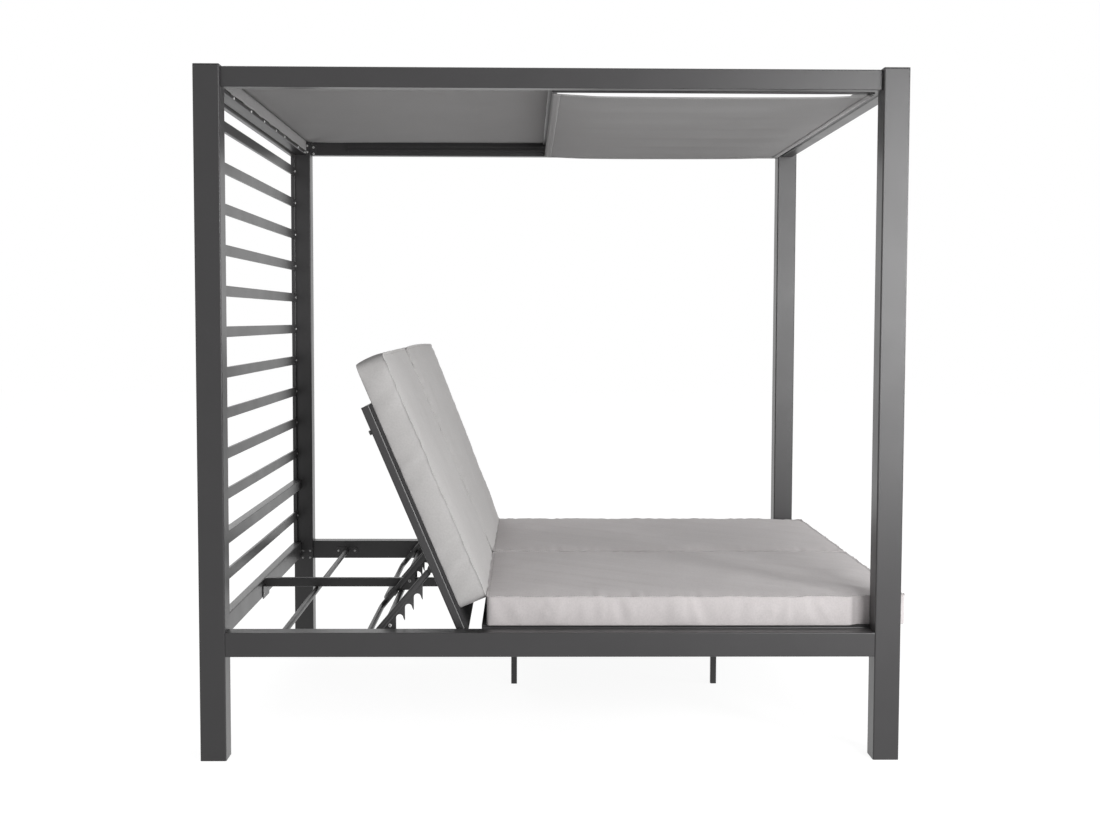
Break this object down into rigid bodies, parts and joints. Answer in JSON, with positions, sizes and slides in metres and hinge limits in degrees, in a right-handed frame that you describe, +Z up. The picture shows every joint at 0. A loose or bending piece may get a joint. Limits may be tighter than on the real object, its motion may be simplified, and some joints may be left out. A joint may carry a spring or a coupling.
{
  "type": "outdoor daybed with canopy",
  "caption": "Four-post outdoor daybed with slatted head end, hinged backrests on hook props, loose cushions and a canopy with a sliding half.",
  "frame": {"origin": "on the floor, under the middle of the bounding box, seat cushions included", "axes": "+Z up, +X from the slatted head end to the foot end, -Y the near side in the picture"},
  "size_m": [2.035, 1.81, 1.967],
  "materials": {
    "powder_coat": "dark charcoal powder coat, low sheen",
    "rod_coat": "dark grey powder coat on round tube, soft sheen",
    "deck_panel": "dark matte deck panel",
    "cap_plastic": "dark moulded plastic, fine matte texture",
    "cushion_cloth": "light warm grey outdoor weave",
    "canopy_cloth": "mid grey canopy cloth, slightly translucent"
  },
  "bodies": {
    "frame": {"post_head_near": "powder_coat", "post_cap_head_near": "cap_plastic", "post_head_far": "powder_coat", "post_cap_head_far": "cap_plastic", "post_foot_near": "powder_coat", "post_cap_foot_near": "cap_plastic", "post_foot_far": "powder_coat", "post_cap_foot_far": "cap_plastic", "rail_near": "powder_coat", "rail_far": "powder_coat", "rail_head": "powder_coat", "rail_foot": "powder_coat", "beam_near": "powder_coat", "beam_far": "powder_coat", "beam_head": "powder_coat", "beam_foot": "powder_coat", "centre_beam": "powder_coat", "centre_leg_1": "powder_coat", "centre_leg_2": "powder_coat", "cross_tube": "powder_coat", "hook_crossbar": "rod_coat", "ladder_stile_near": "powder_coat", "ladder_stile_far": "powder_coat", "ladder_top_rail": "powder_coat", "ladder_slat_01": "powder_coat", "ladder_slat_02": "powder_coat", "ladder_slat_03": "powder_coat", "ladder_slat_04": "powder_coat", "ladder_slat_05": "powder_coat", "ladder_slat_06": "powder_coat", "ladder_slat_07": "powder_coat", "ladder_slat_08": "powder_coat", "ladder_slat_09": "powder_coat", "ladder_slat_10": "powder_coat", "ladder_slat_11": "powder_coat", "ladder_slat_12": "powder_coat", "seat_frame_near": "powder_coat", "seat_panel_near": "deck_panel", "seat_cushion_near": "cushion_cloth", "seat_frame_far": "powder_coat", "seat_panel_far": "deck_panel", "seat_cushion_far": "cushion_cloth", "canopy_track_near": "powder_coat", "canopy_track_far": "powder_coat", "canopy_fixed_fabric": "canopy_cloth", "canopy_fixed_flap": "canopy_cloth", "canopy_fixed_bar": "powder_coat"},
    "backrest_near": {"back_frame_near": "powder_coat", "back_panel_near": "deck_panel"},
    "prop_arm_near": {"prop_near": "rod_coat"},
    "cushion_near": {"back_cushion_near": "cushion_cloth"},
    "backrest_far": {"back_frame_far": "powder_coat", "back_panel_far": "deck_panel"},
    "prop_arm_far": {"prop_far": "rod_coat"},
    "cushion_far": {"back_cushion_far": "cushion_cloth"},
    "canopy_slider": {"canopy_slide_frame": "rod_coat", "canopy_slide_fabric": "canopy_cloth"}
  },
  "joints": [
    {"name": "backrest_hinge_near", "type": "hinge", "parent": "frame", "child": "backrest_near", "pos_m": [-0.277, 0, 0.3625], "axis": [0, -1, 0], "range_deg": [0, 66.95]},
    {"name": "prop_pivot_near", "type": "hinge", "parent": "backrest_near", "child": "prop_arm_near", "pos_m": [-0.36398, 0, 0.5373], "axis": [0, -1, 0], "range_deg": [-118.7, 0]},
    {"name": "cushion_slide_near", "type": "slide", "parent": "backrest_near", "child": "cushion_near", "axis": [0.3915, 0, -0.9202], "range_m": [0, 0.1424]},
    {"name": "backrest_hinge_far", "type": "hinge", "parent": "frame", "child": "backrest_far", "pos_m": [-0.277, 0, 0.3625], "axis": [0, -1, 0], "range_deg": [0, 66.95]},
    {"name": "prop_pivot_far", "type": "hinge", "parent": "backrest_far", "child": "prop_arm_far", "pos_m": [-0.36398, 0, 0.5373], "axis": [0, -1, 0], "range_deg": [-118.7, 0]},
    {"name": "cushion_slide_far", "type": "slide", "parent": "backrest_far", "child": "cushion_far", "axis": [0.3915, 0, -0.9202], "range_m": [0, 0.1424]},
    {"name": "canopy_slide", "type": "slide", "parent": "frame", "child": "canopy_slider", "axis": [-1, 0, 0], "range_m": [0, 0.765]}
  ],
  "couplings": [
    {"joint": "prop_pivot_near", "follows": "backrest_hinge_near", "ratio": -1.7722},
    {"joint": "cushion_slide_near", "follows": "backrest_hinge_near", "m_per_rad": 0.1218},
    {"joint": "prop_pivot_far", "follows": "backrest_hinge_far", "ratio": -1.7722},
    {"joint": "cushion_slide_far", "follows": "backrest_hinge_far", "m_per_rad": 0.1218}
  ]
}
